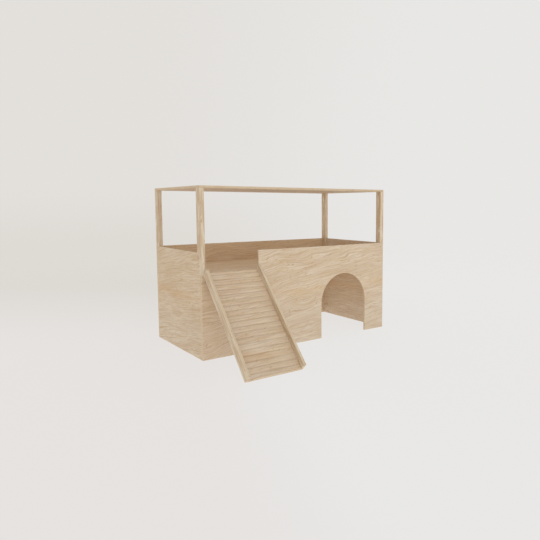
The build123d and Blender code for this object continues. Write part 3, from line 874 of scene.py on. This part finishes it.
class PIGHOUSE_OT_ramp_rails(bpy.types.Operator):
    """Build the two side rails of the ramp"""

    bl_idname = "pig_house.ramp_rails"
    bl_label = "Ramp Rails"

    def execute(self, context):
        sizes = settings("timber")
        hinge, down, out = ramp_axes()
        base, top = sizes.ramp_gap, sizes.ramp_gap + sizes.rail
        outline = block_outline((0, base), (sizes.ramp_length, top), sizes.ramp_end)
        rim = rounded_outline(*outline)
        lean = (rounded_outline(*outline, 0.5 * MM) - rim) / (0.5 * MM)
        fade = rounded_outline(*outline, 2.2 * MM)
        from_foot = sizes.ramp_length - rim[:, 0]
        from_end = np.minimum(rim[:, 0], from_foot)
        upper = (rim[:, 1] > top - 0.1 * MM) * np.clip((from_end - sizes.ramp_end) / (4 * MM), 0, 1)
        # The top is rubbed pale by paws, and the last 3 mm at the foot are darkened as painted shade where
        # the rail meets the floor
        top_wear_and_foot_shade = 1.3 * upper - 0.8 * np.clip(1 - from_foot / (3 * MM), 0, 1)

        # The right rail's darker, browner tint is painted shade, standing in for the shade on its inner face
        # between the rails
        for seed, side, tint in ((17, "left", (0.93, 0.91, 0.87)), (20, "right", (0.98, 0.96, 0.93))):
            low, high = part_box("ramp_rail_" + side)
            face, inward = (low.x, X) if side == "left" else (high.x, LEFTWARD)
            place = ((face, hinge[1], hinge[2]), down, out, inward)
            arris = 0.45 * MM * (1 + 0.3 * closed_wave(len(rim), 20, seed))
            arris = arris + upper * (sizes.rail_round - arris)
            rail = slab(
                rim, lean, high.x - low.x, (arris, arris), fade, head_places(("ramp_pins",), place),
                painted_light_and_wear=lambda share: top_wear_and_foot_shade,
            )
            wood = planed_maple(
                "planed_maple_rail_" + side, (low + high) / 2, tuple(down), tuple(out), seed * 0.9, ring=3.4,
                pith=(38.0, 70.0), tint=tint,
            )
            build_piece("ramp_side_rail_" + side, rail, place, "ramp", "rail_wood", wood, "ramp_rail_" + side)
        return {"FINISHED"}


class PIGHOUSE_OT_metal(bpy.types.Operator):
    """Give the hinges, screws and pins their metals"""

    bl_idname = "pig_house.metal"
    bl_label = "Hinges, Screws and Pins"

    def execute(self, context):
        colours = settings("colours")
        zinc = plated_steel("zinc_plated_steel", colours.zinc, 0.3, 0.35)
        steel = plated_steel("bright_drawn_steel", colours.bright_steel, 0.38, 0.2)
        for name, part in frame["nodes"].items():
            if part.hide_render:
                continue
            part.data.materials.clear()
            part.data.materials.append(steel if name.endswith("_pins") else zinc)
        return {"FINISHED"}


class PIGHOUSE_OT_studio(bpy.types.Operator):
    """Set up the floor, the soft light, the backdrop and the camera"""

    bl_idname = "pig_house.studio"
    bl_label = "Studio"

    def execute(self, context):
        studio = settings("studio")
        self.floor(studio)
        self.light(studio)
        data = bpy.data.cameras.new("picture_camera")
        data.lens, data.sensor_width = studio.lens, 36
        data.shift_x, data.shift_y = studio.shift
        data.clip_start, data.clip_end = 0.05, 200
        camera = new_object("picture_camera", data)
        camera.location = studio.camera_place
        camera.rotation_euler = (math.pi / 2 + studio.camera_tilt, 0, -studio.camera_turn)
        context.scene.camera = camera
        context.scene.view_settings.view_transform = "Standard"
        return {"FINISHED"}

    @staticmethod
    def floor(studio, reach=20.0):
        """A wide translucent light table, a square of (x, y) at height 0: a pale matt top that glows from
        below, so that the open den is lit, and that fades into the backdrop far away. A painted shadow of
        the house lies on it at the left: there its glow is warmer and, to the camera, darker, the most far away."""
        mesh = bpy.data.meshes.new("studio_floor")
        corners = [(-reach, -reach, 0), (reach, -reach, 0), (reach, reach, 0), (-reach, reach, 0)]
        mesh.from_pydata(corners, [], [(0, 1, 2, 3)])
        made = bpy.data.materials.new("pale_light_table")
        node = bare_nodes(made)
        where = node("TexCoord").outputs["Object"]
        top = node("BsdfDiffuse", (studio.floor,))
        # Away is the way past the house's middle, and to_right grows to the right of its left wall
        away = node("VectorMath", (where, (0.612, 0.791, 0)), "DOT_PRODUCT")
        to_right = node("VectorMath", (where, (1, -0.34, 0)), "DOT_PRODUCT")
        right = node("MapRange", (to_right, -0.34, -0.1), **SMOOTH)
        far = node("MapRange", (away, -0.25, 1.15), **SMOOTH)
        left = node("MapRange", (to_right, -0.4, 0.3, 1.0, 0.0), **SMOOTH)
        # Painted shadow of the house: at the left the seen glow is a little darker and the glow warmer, the most
        # far away at the left
        painted_floor_shadow = node("Math", (far, left), "MULTIPLY")
        seen = (right, 0.03 * studio.glow_seen, 0.97 * studio.glow_seen)
        seen = node("Math", seen, "MULTIPLY_ADD")
        seen = node("Math", (painted_floor_shadow, -studio.painted_floor_shadow, seen), "MULTIPLY_ADD")
        tint = node("Mix", (right, studio.left_shadow_tint, studio.glow_tint), **OVER)
        tint = node("Mix", (painted_floor_shadow, tint, studio.painted_shadow_tint), **OVER)
        direct = node("LightPath").outputs["Is Camera Ray"]
        strength = node("Mix", (direct, studio.glow, seen))
        lit = node("AddShader", (top, node("Emission", (tint, strength))))
        distance = node("VectorMath", (where,), "LENGTH")
        faded = node("MapRange", (distance, studio.floor_near, studio.floor_reach), **SMOOTH)
        both = node("MixShader", (faded, lit, node("BsdfTransparent")))
        node("OutputMaterial", (both,))
        mesh.materials.append(made)
        new_object("studio_floor", mesh)

    @staticmethod
    def light(studio):
        """A broad soft sun from the front left, low, and an even room light, weaker from above, behind a
        pale backdrop that only the camera and mirrors see, darkest at the left just under the horizon."""
        lamp = bpy.data.lights.new("soft_key", "SUN")
        lamp.energy, lamp.angle = studio.key, studio.key_spread
        aim = Vector(studio.key_aim).to_track_quat("-Z", "Y")
        new_object("soft_key", lamp).rotation_euler = aim.to_euler()

        world = bpy.data.worlds.new("pale_studio")
        node = bare_nodes(world)
        x, _, z = node("SeparateXYZ", (node("TexCoord").outputs["Generated"],)).outputs
        above = node("Math", (z, 0.08), "ADD")
        rise = node("Math", (above,), "ABSOLUTE")
        upper = node("MapRange", (rise, 0.0, 0.12), **SMOOTH)
        left = node("Mix", (upper, studio.backdrop_low, studio.backdrop_left), **OVER)
        right = node("MapRange", (x, 0.3, 0.75), **SMOOTH)
        backdrop = node("Mix", (right, left, studio.backdrop_right), **OVER)
        seen = node("Background", (backdrop,))
        height = node("MapRange", (z, 0.0, 1.0, studio.room, studio.room * studio.zenith), **SMOOTH)
        lit = node("Background", (PLAIN, height))
        rays = node("LightPath").outputs
        shown = rays["Is Camera Ray"]
        for ray in ("Is Transmission Ray", "Is Glossy Ray"):
            shown = node("Math", (shown, rays[ray]), "MAXIMUM")
        node("OutputWorld", (node("MixShader", (shown, lit, seen)),))
        bpy.context.scene.world = world


class PIGHOUSE_PT_panel(bpy.types.Panel):
    """Lists the steps that build the dressed house"""

    bl_idname = "PIGHOUSE_PT_panel"
    bl_label = "Pig House"
    bl_space_type = "VIEW_3D"
    bl_region_type = "UI"
    bl_category = "Pig House"

    def draw(self, context):
        for operator in OPERATORS:
            self.layout.operator(operator.bl_idname)


GROUPS = {
    "sheets": PigHouseSheetSizes,
    "timber": PigHouseTimberSizes,
    "colours": PigHouseColours,
    "studio": PigHouseStudio,
}
OPERATORS = (
    PIGHOUSE_OT_studio,
    PIGHOUSE_OT_walls,
    PIGHOUSE_OT_deck_and_roof,
    PIGHOUSE_OT_posts,
    PIGHOUSE_OT_bearers,
    PIGHOUSE_OT_ramp_board,
    PIGHOUSE_OT_ramp_rails,
    PIGHOUSE_OT_metal,
)
CLASSES = (*GROUPS.values(), *OPERATORS, PIGHOUSE_PT_panel)


def register():
    """Registers the classes and hangs each group of settings on the scene."""
    for each in CLASSES:
        bpy.utils.register_class(each)
    for name, group in GROUPS.items():
        setattr(bpy.types.Scene, "pig_house_" + name, bpy.props.PointerProperty(type=group))


def unregister():
    """Takes the settings and the classes away again."""
    for name in GROUPS:
        delattr(bpy.types.Scene, "pig_house_" + name)
    for each in reversed(CLASSES):
        bpy.utils.unregister_class(each)


def main():
    """Builds the studio and every piece in order."""
    register()
    for operator in OPERATORS:
        _, step = operator.bl_idname.split(".")
        getattr(bpy.ops.pig_house, step)()


if __name__ == "__main__":
    main()
